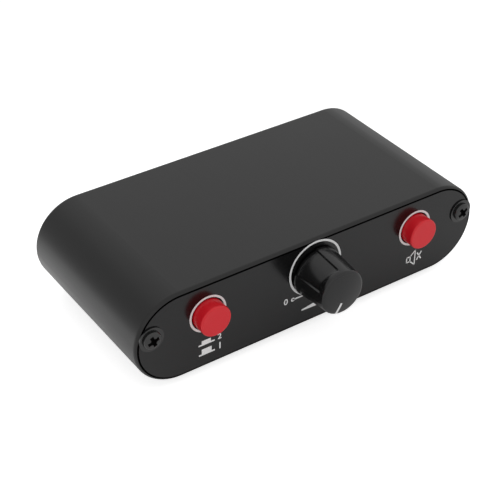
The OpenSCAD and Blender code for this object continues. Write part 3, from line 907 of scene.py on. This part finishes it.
@dataclass
class ReturnSpring:
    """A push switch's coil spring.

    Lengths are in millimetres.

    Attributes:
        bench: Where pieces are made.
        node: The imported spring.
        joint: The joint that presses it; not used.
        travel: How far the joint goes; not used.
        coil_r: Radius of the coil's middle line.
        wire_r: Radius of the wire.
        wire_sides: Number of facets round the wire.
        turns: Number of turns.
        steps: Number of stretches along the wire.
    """

    bench: Bench
    node: str
    joint: str
    travel: float = 2.5
    coil_r: float = 1.5
    wire_r: float = 0.25
    wire_sides: int = 10
    turns: int = 5
    steps: int = 120

    def build(self, name: str) -> None:
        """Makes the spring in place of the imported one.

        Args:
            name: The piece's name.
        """
        low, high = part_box(self.node)
        middle = (low + high) / 2
        length = (high.y - low.y) / MM
        rise = length - 2 * self.wire_r
        mesh = bmesh.new()
        bmesh.ops.create_circle(
            mesh, cap_ends=False, segments=self.wire_sides, radius=self.wire_r,
            matrix=Matrix.Translation((self.coil_r, 0, 0)),
        )
        bmesh.ops.spin(
            mesh, geom=mesh.verts[:] + mesh.edges[:], cent=(0, 0, 0), axis=(0, 1, 0),
            dvec=(0, rise / self.steps, 0), angle=math.tau * self.turns, steps=self.steps,
            use_merge=False, use_duplicate=False,
        )
        ends = [e for e in mesh.edges if e.is_boundary]
        bmesh.ops.holes_fill(mesh, edges=ends, sides=self.wire_sides)
        bmesh.ops.recalc_face_normals(mesh, faces=mesh.faces)
        bmesh.ops.scale(mesh, verts=mesh.verts, vec=(MM, MM, MM))
        place = (middle.x, low.y + self.wire_r * MM, middle.z)
        bmesh.ops.translate(mesh, verts=mesh.verts, vec=place)
        made = self.bench.piece(name, mesh, "case", SPRING_WIRE, "spring_steel", (self.node,), smooth=60.0)
        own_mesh(made)


@dataclass
class PanelPrint:
    """White marks printed on a flat panel, laid out in millimetres right and up.

    Attributes:
        bench: Where pieces are made.
        face_y: The panel face's Y, in metres.
        base_z: Height of the case's bottom, in metres.
        panel: The panel that carries the marks.
        film: Thickness of the ink, in millimetres.
        spread: How far a stroke's ends run on together, in widths of the stroke.
        cap_share: Height of the typeface's capitals in a size of 1.
        boldness: How far a numeral's outline swells, in heights of the numeral.
        numeral_steps: Number of stretches along each curve of a numeral.
        dot_sides: Number of facets round a dot.
        facet: Angle of one stretch of an arc, in degrees.
    """

    bench: Bench
    face_y: float
    base_z: float
    panel: Panel
    film: float = 0.03
    spread: float = 0.6
    cap_share: float = 0.7
    boldness: float = 0.02
    numeral_steps: int = 6
    dot_sides: int = 32
    facet: float = 3.0

    def _finish(self, name: str, flat: bmesh.types.BMesh) -> None:
        """Thickens a flat drawing, stands it on the panel and makes the piece.

        Args:
            name: The mark's name.
            flat: The drawing in X and Y, which the call uses up.
        """
        bmesh.ops.remove_doubles(flat, verts=flat.verts, dist=NEARER)
        grown = bmesh.ops.extrude_face_region(flat, geom=flat.faces[:])
        top = [v for v in grown["geom"] if isinstance(v, bmesh.types.BMVert)]
        bmesh.ops.translate(flat, verts=top, vec=(0.0, 0.0, self.film))
        bmesh.ops.recalc_face_normals(flat, faces=flat.faces)
        across, out = -self.panel.value * MM, self.panel.value * MM
        stand = Matrix(((across, 0, 0, 0), (0, 0, out, self.face_y), (0, MM, 0, self.base_z), (0, 0, 0, 1)))
        bmesh.ops.transform(flat, matrix=stand, verts=flat.verts)
        bmesh.ops.recalc_face_normals(flat, faces=flat.faces)
        self.bench.piece(name, flat, "case", WHITE_INK, "black_panel", smooth=30.0)

    def arc(
        self, name: str, centre: Point, radius: float, width: float,
        start: float = 0.0, sweep: float = 360.0,
    ) -> None:
        """Prints an arc, or a full ring, by spinning a short stroke round a centre.

        Args:
            name: The mark's name.
            centre: Where the arc's centre is.
            radius: The stroke's middle radius.
            width: The stroke's width.
            start: Start direction in degrees, anticlockwise from the right.
            sweep: How far it goes, in degrees.
        """
        flat = bmesh.new()
        turn = Matrix.Rotation(math.radians(start), 4, "Z")
        reaches = (radius - width / 2, radius + width / 2)
        verts = [flat.verts.new(turn @ Vector((r, 0, 0)) + Vector((*centre, 0))) for r in reaches]
        bmesh.ops.spin(
            flat, geom=[flat.edges.new(verts), *verts], cent=(*centre, 0), axis=(0, 0, 1), dvec=(0, 0, 0),
            angle=math.radians(sweep), steps=round(sweep / self.facet), use_merge=sweep >= 360.0,
            use_duplicate=False,
        )
        self._finish(name, flat)

    def strokes(self, name: str, lines: Iterable[tuple[Point, Point]], width: float) -> None:
        """Prints straight strokes, each a mark with a number after its name.

        Args:
            name: The marks' common name.
            lines: Start and end of each stroke.
            width: The strokes' width.
        """
        for index, (start, end) in enumerate(lines):
            a, b = Vector((*start, 0)), Vector((*end, 0))
            along = b - a
            place = (
                Matrix.Translation((a + b) / 2)
                @ Matrix.Rotation(math.atan2(along.y, along.x), 4, "Z")
                @ Matrix.Diagonal((along.length + width * self.spread, width, 1, 1))
            )
            flat = bmesh.new()
            bmesh.ops.create_grid(flat, x_segments=1, y_segments=1, size=0.5, matrix=place)
            self._finish(f"{name}_{index + 1}", flat)

    def polygon(self, name: str, corners: Sequence[Point]) -> None:
        """Prints a filled outline.

        Args:
            name: The mark's name.
            corners: The outline's corners, in order.
        """
        flat = bmesh.new()
        flat.faces.new([flat.verts.new((*c, 0)) for c in corners])
        self._finish(name, flat)

    def bar(self, name: str, low: Point, high: Point) -> None:
        """Prints a filled rectangle between two corners."""
        self.polygon(name, [low, (high[0], low[1]), high, (low[0], high[1])])

    def dot(self, name: str, centre: Point, radius: float) -> None:
        """Prints a filled dot.

        Args:
            name: The mark's name.
            centre: Where the dot's middle is.
            radius: The dot's radius.
        """
        flat = bmesh.new()
        bmesh.ops.create_circle(
            flat, cap_ends=True, segments=self.dot_sides, radius=radius,
            matrix=Matrix.Translation((*centre, 0)),
        )
        self._finish(name, flat)

    def numeral(self, name: str, text: str, centre: Point, height: float) -> None:
        """Prints a plain numeral.

        Args:
            name: The mark's name.
            text: The numeral's figures.
            centre: Where its middle is.
            height: Its height.
        """
        curve = bpy.data.curves.new(name + "_outline", "FONT")
        curve.body = text
        curve.size = height / self.cap_share
        curve.offset = self.boldness * height
        curve.resolution_u = self.numeral_steps
        drawn = bpy.data.objects.new(name + "_outline", curve)
        bpy.context.scene.collection.objects.link(drawn)
        bpy.context.view_layer.update()
        graph = bpy.context.evaluated_depsgraph_get()
        data = bpy.data.meshes.new_from_object(drawn.evaluated_get(graph))
        bpy.data.objects.remove(drawn)
        flat = bmesh.new()
        flat.from_mesh(data)
        bpy.data.meshes.remove(data)
        low = Vector((min(v.co.x for v in flat.verts), min(v.co.y for v in flat.verts), 0))
        high = Vector((max(v.co.x for v in flat.verts), max(v.co.y for v in flat.verts), 0))
        scale = height / (high.y - low.y)
        bmesh.ops.translate(flat, verts=flat.verts, vec=-(low + high) / 2)
        bmesh.ops.scale(flat, verts=flat.verts, vec=(scale, scale, 1))
        bmesh.ops.translate(flat, verts=flat.verts, vec=(*centre, 0))
        self._finish(name, flat)


@dataclass(frozen=True)
class ButtonSign:
    """A sign for one place of a push button: a bar, a cap standing on it and a number beside it.

    Attributes:
        name: The sign's name.
        bar: Lower left and upper right corner of the bar.
        cap: The same of the cap.
        number: What the number says.
        number_at: Where the number's middle is.
        number_h: Height of the number.
    """

    name: str
    bar: tuple[Point, Point]
    cap: tuple[Point, Point]
    number: str
    number_at: Point
    number_h: float

    def build(self, ink: PanelPrint) -> None:
        """Prints the sign.

        Args:
            ink: The print of the panel that it is on.
        """
        ink.bar(f"print_{self.name}_bar", *self.bar)
        ink.bar(f"print_{self.name}_cap", *self.cap)
        ink.numeral(f"print_{self.name}_number", self.number, self.number_at, self.number_h)


UPPER_SIGN = ButtonSign(
    "out", bar=((-40.05, 8.05), (-34.75, 8.55)), cap=((-39.0, 8.55), (-36.0, 9.7)),
    number="2", number_at=(-33.1, 8.95), number_h=1.95,
)
LOWER_SIGN = ButtonSign(
    "in", bar=((-40.0, 4.55), (-34.7, 5.05)), cap=((-39.05, 5.05), (-35.8, 6.7)),
    number="1", number_at=(-33.0, 5.6), number_h=2.3,
)


@dataclass
class FrontMarks:
    """The front panel's print: button rings, volume scale and the signs below the buttons.

    Attributes:
        ink: The panel's print.
        button_x: Distance from the middle to a button's ring.
        ring_z: Height of the rings' centres.
        ring_r: Radius of a ring.
        scale_x: How far the volume scale's centre is to the right of the middle.
        scale_z: Height of the volume scale's centre.
        scale_r: Radius of the volume scale.
        scale_start: Direction in which the scale starts, in degrees.
        scale_sweep: How far it goes round, in degrees.
        line: Width of the rings and of the scale.
        tail: Start and end of the short line at the scale's right end, which the left one mirrors.
        tail_w: Width of those two lines.
        dot_r: Radius of the dots where they end.
        figure_h: Height of the scale's numbers.
        zero_at: Where its 0 is.
        ten_at: Where its 10 is.
        wedge: Corners of the rising wedge below the knob.
        signs: The signs below the source button.
        speaker_x: Where the loudspeaker's back, its neck and its mouth are.
        neck_z: Lower and upper end of its neck.
        mouth_z: Lower and upper end of its mouth.
        speaker_w: Width of its lines.
        cross_x: Left and right end of the small cross.
        cross_z: Its lower and its upper end.
        cross_w: Width of its lines.
    """

    ink: PanelPrint
    button_x: float = 36.8
    ring_z: float = 18.52
    ring_r: float = 5.65
    scale_x: float = -0.25
    scale_z: float = 19.2
    scale_r: float = 8.88
    scale_start: float = -60.5
    scale_sweep: float = 301.0
    line: float = 0.65
    tail: tuple[Point, Point] = ((4.55, 10.75), (7.95, 10.79))
    tail_w: float = 0.5
    dot_r: float = 0.65
    figure_h: float = 2.1
    zero_at: Point = (-10.4, 10.95)
    ten_at: Point = (10.9, 10.95)
    wedge: tuple[Point, ...] = ((-4.7, 5.3), (4.7, 4.9), (4.7, 7.3), (-4.7, 5.7))
    signs: tuple[ButtonSign, ...] = (UPPER_SIGN, LOWER_SIGN)
    speaker_x: tuple[float, float, float] = (34.85, 36.2, 38.06)
    neck_z: Pair = (6.3, 8.1)
    mouth_z: Pair = (4.5, 9.9)
    speaker_w: float = 0.36
    cross_x: Pair = (38.9, 40.5)
    cross_z: Pair = (5.95, 8.5)
    cross_w: float = 0.42

    def build(self) -> None:
        """Prints all of the front's marks."""
        for side, name in zip((-1, 1), BUTTONS):
            self.ink.arc(f"print_{name}_ring", (side * self.button_x, self.ring_z), self.ring_r, self.line)
        self._volume_scale()
        for sign in self.signs:
            sign.build(self.ink)
        self._mute_sign()

    def _volume_scale(self) -> None:
        """Prints the arc with a line and a dot at each end, its numbers and the rising wedge."""
        centre = (self.scale_x, self.scale_z)
        self.ink.arc(
            "print_volume_arc", centre, self.scale_r, self.line, self.scale_start, self.scale_sweep
        )
        for side, name in ((-1, "low"), (1, "high")):
            inner, outer = ((side * x, z) for x, z in self.tail)
            self.ink.strokes(f"print_volume_{name}_line", [(inner, outer)], self.tail_w)
            self.ink.dot(f"print_volume_{name}_dot", outer, self.dot_r)
        self.ink.numeral("print_volume_zero", "0", self.zero_at, self.figure_h)
        self.ink.numeral("print_volume_ten", "10", self.ten_at, self.figure_h)
        self.ink.polygon("print_volume_wedge", self.wedge)

    def _mute_sign(self) -> None:
        """Prints an outlined loudspeaker and a small cross."""
        back, neck, mouth = self.speaker_x
        low, high = self.neck_z
        mouth_low, mouth_high = self.mouth_z
        horn = [(neck, high), (mouth, mouth_high), (mouth, mouth_low), (neck, low)]
        outline = [(back, high), *horn, (back, low), (back, high)]
        lines = [*zip(outline, outline[1:]), ((neck, low), (neck, high))]
        self.ink.strokes("print_speaker_line", lines, self.speaker_w)
        (left, right), (low, high) = self.cross_x, self.cross_z
        cross = [((left, high), (right, low)), ((right, high), (left, low))]
        self.ink.strokes("print_mute_cross", cross, self.cross_w)


@dataclass
class RearMarks:
    """The rear panel's print: a bracket under each pair of sockets and what the pair is for.

    Attributes:
        ink: The panel's print.
        pair_x: Distance from the middle to an outer pair's middle.
        bracket_z: Height of the brackets.
        bracket_w: Half width of a bracket.
        bracket_h: Height of its turned-up ends.
        line: Width of its lines.
        mark_z: Height of the marks below them.
        number_h: Height of the two numbers.
        shaft_x: Start and end of the arrow's shaft, from the pair's middle.
        shaft_w: Width of the shaft.
        tip_x: Start and end of the arrow's tip, from the pair's middle.
        tip_h: Half height of the tip.
    """

    ink: PanelPrint
    pair_x: float = 37.0
    bracket_z: float = 11.2
    bracket_w: float = 7.0
    bracket_h: float = 1.1
    line: float = 0.35
    mark_z: float = 8.2
    number_h: float = 2.6
    shaft_x: Pair = (-2.4, 0.4)
    shaft_w: float = 0.6
    tip_x: Pair = (0.3, 2.5)
    tip_h: float = 1.2

    def build(self) -> None:
        """Prints all of the rear's marks."""
        for name, middle in zip(PAIRS, (self.pair_x, 0.0, -self.pair_x)):
            left, right = middle - self.bracket_w, middle + self.bracket_w
            low, high = self.bracket_z, self.bracket_z + self.bracket_h
            corners = [(left, high), (left, low), (right, low), (right, high)]
            self.ink.strokes(f"print_{name}_bracket", zip(corners, corners[1:]), self.line)
        self.ink.numeral("print_input_1_number", "1", (self.pair_x, self.mark_z), self.number_h)
        self.ink.numeral("print_input_2_number", "2", (0.0, self.mark_z), self.number_h)
        self._arrow(-self.pair_x, self.mark_z)

    def _arrow(self, x: float, z: float) -> None:
        """Prints the arrow under the output's pair.

        Args:
            x: The pair's middle.
            z: Height of the arrow's middle line.
        """
        start, end = (x + at for at in self.shaft_x)
        self.ink.strokes("print_output_shaft", [((start, z), (end, z))], self.shaft_w)
        back, point = (x + at for at in self.tip_x)
        tip = [(back, z - self.tip_h), (point, z), (back, z + self.tip_h)]
        self.ink.polygon("print_output_tip", tip)


# Studio


@dataclass(frozen=True)
class Portrait:
    """The camera of the portrait.

    Attributes:
        place: Where the lens is, in millimetres from the box's middle, the front panel and the case's bottom.
        azimuth: Direction that it looks from, in degrees, 0 from the front.
        elevation: Its height above the horizon, in degrees.
        roll: Its turn about its own axis, in degrees.
        lens: Focal length, in millimetres.
        sensor: Width of the sensor, in millimetres.
        near: Distance at which the view starts, in metres.
    """

    place: tuple[float, float, float] = (-186.30, -234.93, 240.105)
    azimuth: float = -34.797
    elevation: float = 35.720
    roll: float = 0.516
    lens: float = 93.735
    sensor: float = 36.0
    near: float = 0.01

    def build(self, front_y: float, base_z: float) -> None:
        """Makes the scene's camera.

        Args:
            front_y: Y of the front panel's face, in metres.
            base_z: Height of the case's bottom, in metres.
        """
        a, e, roll = (math.radians(v) for v in (self.azimuth, self.elevation, self.roll))
        back = Vector((math.sin(a) * math.cos(e), -math.cos(a) * math.cos(e), math.sin(e)))
        level = Vector((math.cos(a), math.sin(a), 0.0))
        upright = back.cross(level)
        right = math.cos(roll) * level + math.sin(roll) * upright
        up = math.cos(roll) * upright - math.sin(roll) * level
        data = bpy.data.cameras.new("portrait")
        data.lens = self.lens
        data.sensor_width = self.sensor
        data.clip_start = self.near
        camera = bpy.data.objects.new("portrait", data)
        bpy.context.scene.collection.objects.link(camera)
        place = Vector(self.place) * MM + Vector((0.0, front_y, base_z))
        camera.matrix_world = Matrix.Translation(place) @ Matrix((right, up, back)).transposed().to_4x4()
        bpy.context.scene.camera = camera
        log.info("camera stands %.3f m from the box", place.length)


@dataclass(frozen=True)
class SoftZone:
    """A part of the tent that is brighter or darker than the rest, with a soft border.

    Attributes:
        azimuth: Direction of its middle in degrees, 0 in front of the box and 90 to its right.
        elevation: Height of its middle above the horizon, in degrees.
        reach: Angle from its middle at which it has faded away, in degrees.
        gain: Brightness that it adds at its middle.
    """

    azimuth: float
    elevation: float
    reach: float
    gain: float

    def wire(self, sheet: NodeSheet, gaze: bpy.types.NodeSocket) -> bpy.types.NodeSocket:
        """Adds the zone's nodes.

        Args:
            sheet: The world's node tree.
            gaze: The direction that a ray looks in.

        Returns:
            The brightness to add in that direction.
        """
        a, e = math.radians(self.azimuth), math.radians(self.elevation)
        middle = (math.sin(a) * math.cos(e), -math.cos(a) * math.cos(e), math.sin(e))
        along = sheet.vectors("DOT_PRODUCT", gaze, middle)
        return sheet.ramp(along, math.cos(math.radians(self.reach)), 1.0, 0.0, self.gain)


@dataclass(frozen=True)
class Studio:
    """The plain white tent that the box stands in, with light from all sides.

    Attributes:
        tent: Brightness of the tent.
        zones: Where the tent is brighter or darker.
        backdrop: Brightness of the tent to the camera.
        cloth: Paleness of the floor's cloth.
        painted_shade_cloth: Its paleness behind the box on the right, lowered there as painted shade where
            the tent's corner would shade it.
        far_span: Where that darkening starts and ends, in metres along the diagonal.
        base_glow: Light that comes up through the cloth all over.
        glow: What is added to it at the middle of the glowing spot.
        glow_middle: Where that spot is, in metres.
        glow_reach: Distance at which it has faded away, in metres.
        box_middle_y: Y of the middle of the case, whose underside keeps the glow off the cloth, in metres.
        box_half: Half the case's width and length where it comes close to the cloth, in metres.
        box_border: How far in and out of that edge the glow's soft border reaches, in metres.
        floor_lift: Glow that brings the floor up to white for the camera alone.
        floor_size: Half the floor's width, in metres.
    """

    tent: float = 0.78
    zones: tuple[SoftZone, ...] = (SoftZone(-134.0, 19.0, 42.0, -0.22),)
    backdrop: float = 1.0
    cloth: float = 0.85
    painted_shade_cloth: float = 0.5
    far_span: Pair = (0.05, 0.14)
    base_glow: float = 0.06
    glow: float = 0.65
    glow_middle: Point = (-0.11, 0.04)
    glow_reach: float = 0.12
    box_middle_y: float = 0.0028
    box_half: Pair = (0.056, 0.0286)
    box_border: Pair = (0.002, 0.004)
    floor_lift: float = 0.7
    floor_size: float = 3.0

    def build(self) -> None:
        """Makes the floor and the tent."""
        self._floor()
        self._world()
        bpy.context.scene.view_settings.view_transform = "Standard"

    @staticmethod
    def _by_gaze(sheet: NodeSheet, light: Any, camera: float) -> bpy.types.NodeSocket:
        """Gives the camera one strength and every other ray another.

        Args:
            sheet: The floor's or the world's node tree.
            light: Strength for every other ray.
            camera: Strength for the camera.

        Returns:
            The strength to use.
        """
        gaze = sheet.add("ShaderNodeLightPath").outputs["Is Camera Ray"]
        inputs = {"Value": gaze, "To Min": light, "To Max": camera}
        return sheet.add("ShaderNodeMapRange", inputs).outputs["Result"]

    def _floor(self) -> None:
        """Makes the pale floor, which keeps the box's shadow."""
        mesh = bmesh.new()
        bmesh.ops.create_grid(mesh, x_segments=2, y_segments=2, size=self.floor_size)
        data = bpy.data.meshes.new("floor")
        mesh.to_mesh(data)
        mesh.free()
        floor = bpy.data.objects.new("floor", data)
        bpy.context.scene.collection.objects.link(floor)
        material = bpy.data.materials.new("pale_floor")
        material.use_nodes = True
        material.node_tree.nodes.clear()
        sheet = NodeSheet(material.node_tree)
        place = sheet.object_coordinates()
        slant = math.sqrt(0.5)
        behind = sheet.vectors("DOT_PRODUCT", place, (slant, slant, 0.0))
        # The cloth is painted darker behind the box on the right: painted shade
        shade = sheet.ramp(behind, *self.far_span, self.cloth, self.painted_shade_cloth)
        cloth = sheet.add("ShaderNodeBsdfDiffuse", {"Color": shade})
        away = sheet.vectors("DISTANCE", place, (*self.glow_middle, 0.0))
        light = sheet.ramp(away, 0.0, self.glow_reach, self.base_glow + self.glow, self.base_glow)
        light = sheet.math("MULTIPLY", light, self._beside_box(sheet, place))
        glow = sheet.add(
            "ShaderNodeEmission",
            {"Color": WHITE, "Strength": self._by_gaze(sheet, light, self.floor_lift)},
        )
        both = sheet.add("ShaderNodeAddShader", {0: cloth.outputs[0], 1: glow.outputs[0]})
        sheet.add("ShaderNodeOutputMaterial", {"Surface": both.outputs[0]})
        data.materials.append(material)

    def _beside_box(self, sheet: NodeSheet, place: bpy.types.NodeSocket) -> bpy.types.NodeSocket:
        """Tells the cloth under the box from the rest, with a soft border.

        Args:
            sheet: The floor's node tree.
            place: The floor's coordinates.

        Returns:
            0 under the box and 1 away from it.
        """
        parts = sheet.add("ShaderNodeSeparateXYZ", {"Vector": place}).outputs
        across = sheet.math("ABSOLUTE", parts["X"])
        along = sheet.math("ABSOLUTE", sheet.math("SUBTRACT", parts["Y"], self.box_middle_y))
        inner, outer = self.box_border
        sides = [
            sheet.ramp(distance, half - inner, half + outer, 0.0, 1.0)
            for distance, half in zip((across, along), self.box_half)
        ]
        return sheet.math("MAXIMUM", *sides)

    def _world(self) -> None:
        """Makes the tent's walls and roof."""
        world = bpy.data.worlds.new("white_tent")
        world.use_nodes = True
        world.node_tree.nodes.clear()
        sheet = NodeSheet(world.node_tree)
        gaze = sheet.add("ShaderNodeTexCoord").outputs["Generated"]
        bright = self.tent
        for zone in self.zones:
            bright = sheet.math("ADD", zone.wire(sheet, gaze), bright)
        strength = self._by_gaze(sheet, bright, self.backdrop)
        light = sheet.add("ShaderNodeBackground", {"Color": WHITE, "Strength": strength})
        sheet.add("ShaderNodeOutputWorld", {"Surface": light.outputs[0]})
        bpy.context.scene.world = world


def main() -> None:
    """Builds the scene in order."""
    logging.basicConfig(level=logging.INFO, format="%(name)s: %(message)s")
    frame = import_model()
    even_normals(frame["nodes"]["case_sleeve"])
    base_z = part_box("case_sleeve")[0].z
    Portrait().build(Panel.FRONT.outer_y("front_panel"), base_z)
    dress_nodes(frame["nodes"])
    bench = Bench()
    FrontMarks(PanelPrint(bench, Panel.FRONT.outer_y("front_panel"), base_z, Panel.FRONT)).build()
    RearMarks(PanelPrint(bench, Panel.REAR.outer_y("rear_panel"), base_z, Panel.REAR)).build()
    for panel in Panel:
        end = panel.name.lower()
        low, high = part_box(f"{end}_panel_screws")
        face_y = panel.outer_y(f"{end}_panel_screws")
        screws = PanelScrews(bench, face_y, (low.z + high.z) / 2, panel)
        screws.build(f"{end}_panel_crossheads", f"{end}_panel_screws")
    bush_low, bush_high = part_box("pot_bush")
    middle = (bush_low + bush_high) / 2
    VolumeKnob(bench, (middle.x, middle.z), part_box("volume_knob")[0].y).build()
    for button in BUTTONS:
        ReturnSpring(bench, f"{button}_switch_spring", f"{button}_press").build(f"{button}_return_spring")
    Studio().build()
    log.info("%d pieces added", len(bench.made))


if __name__ == "__main__":
    main()
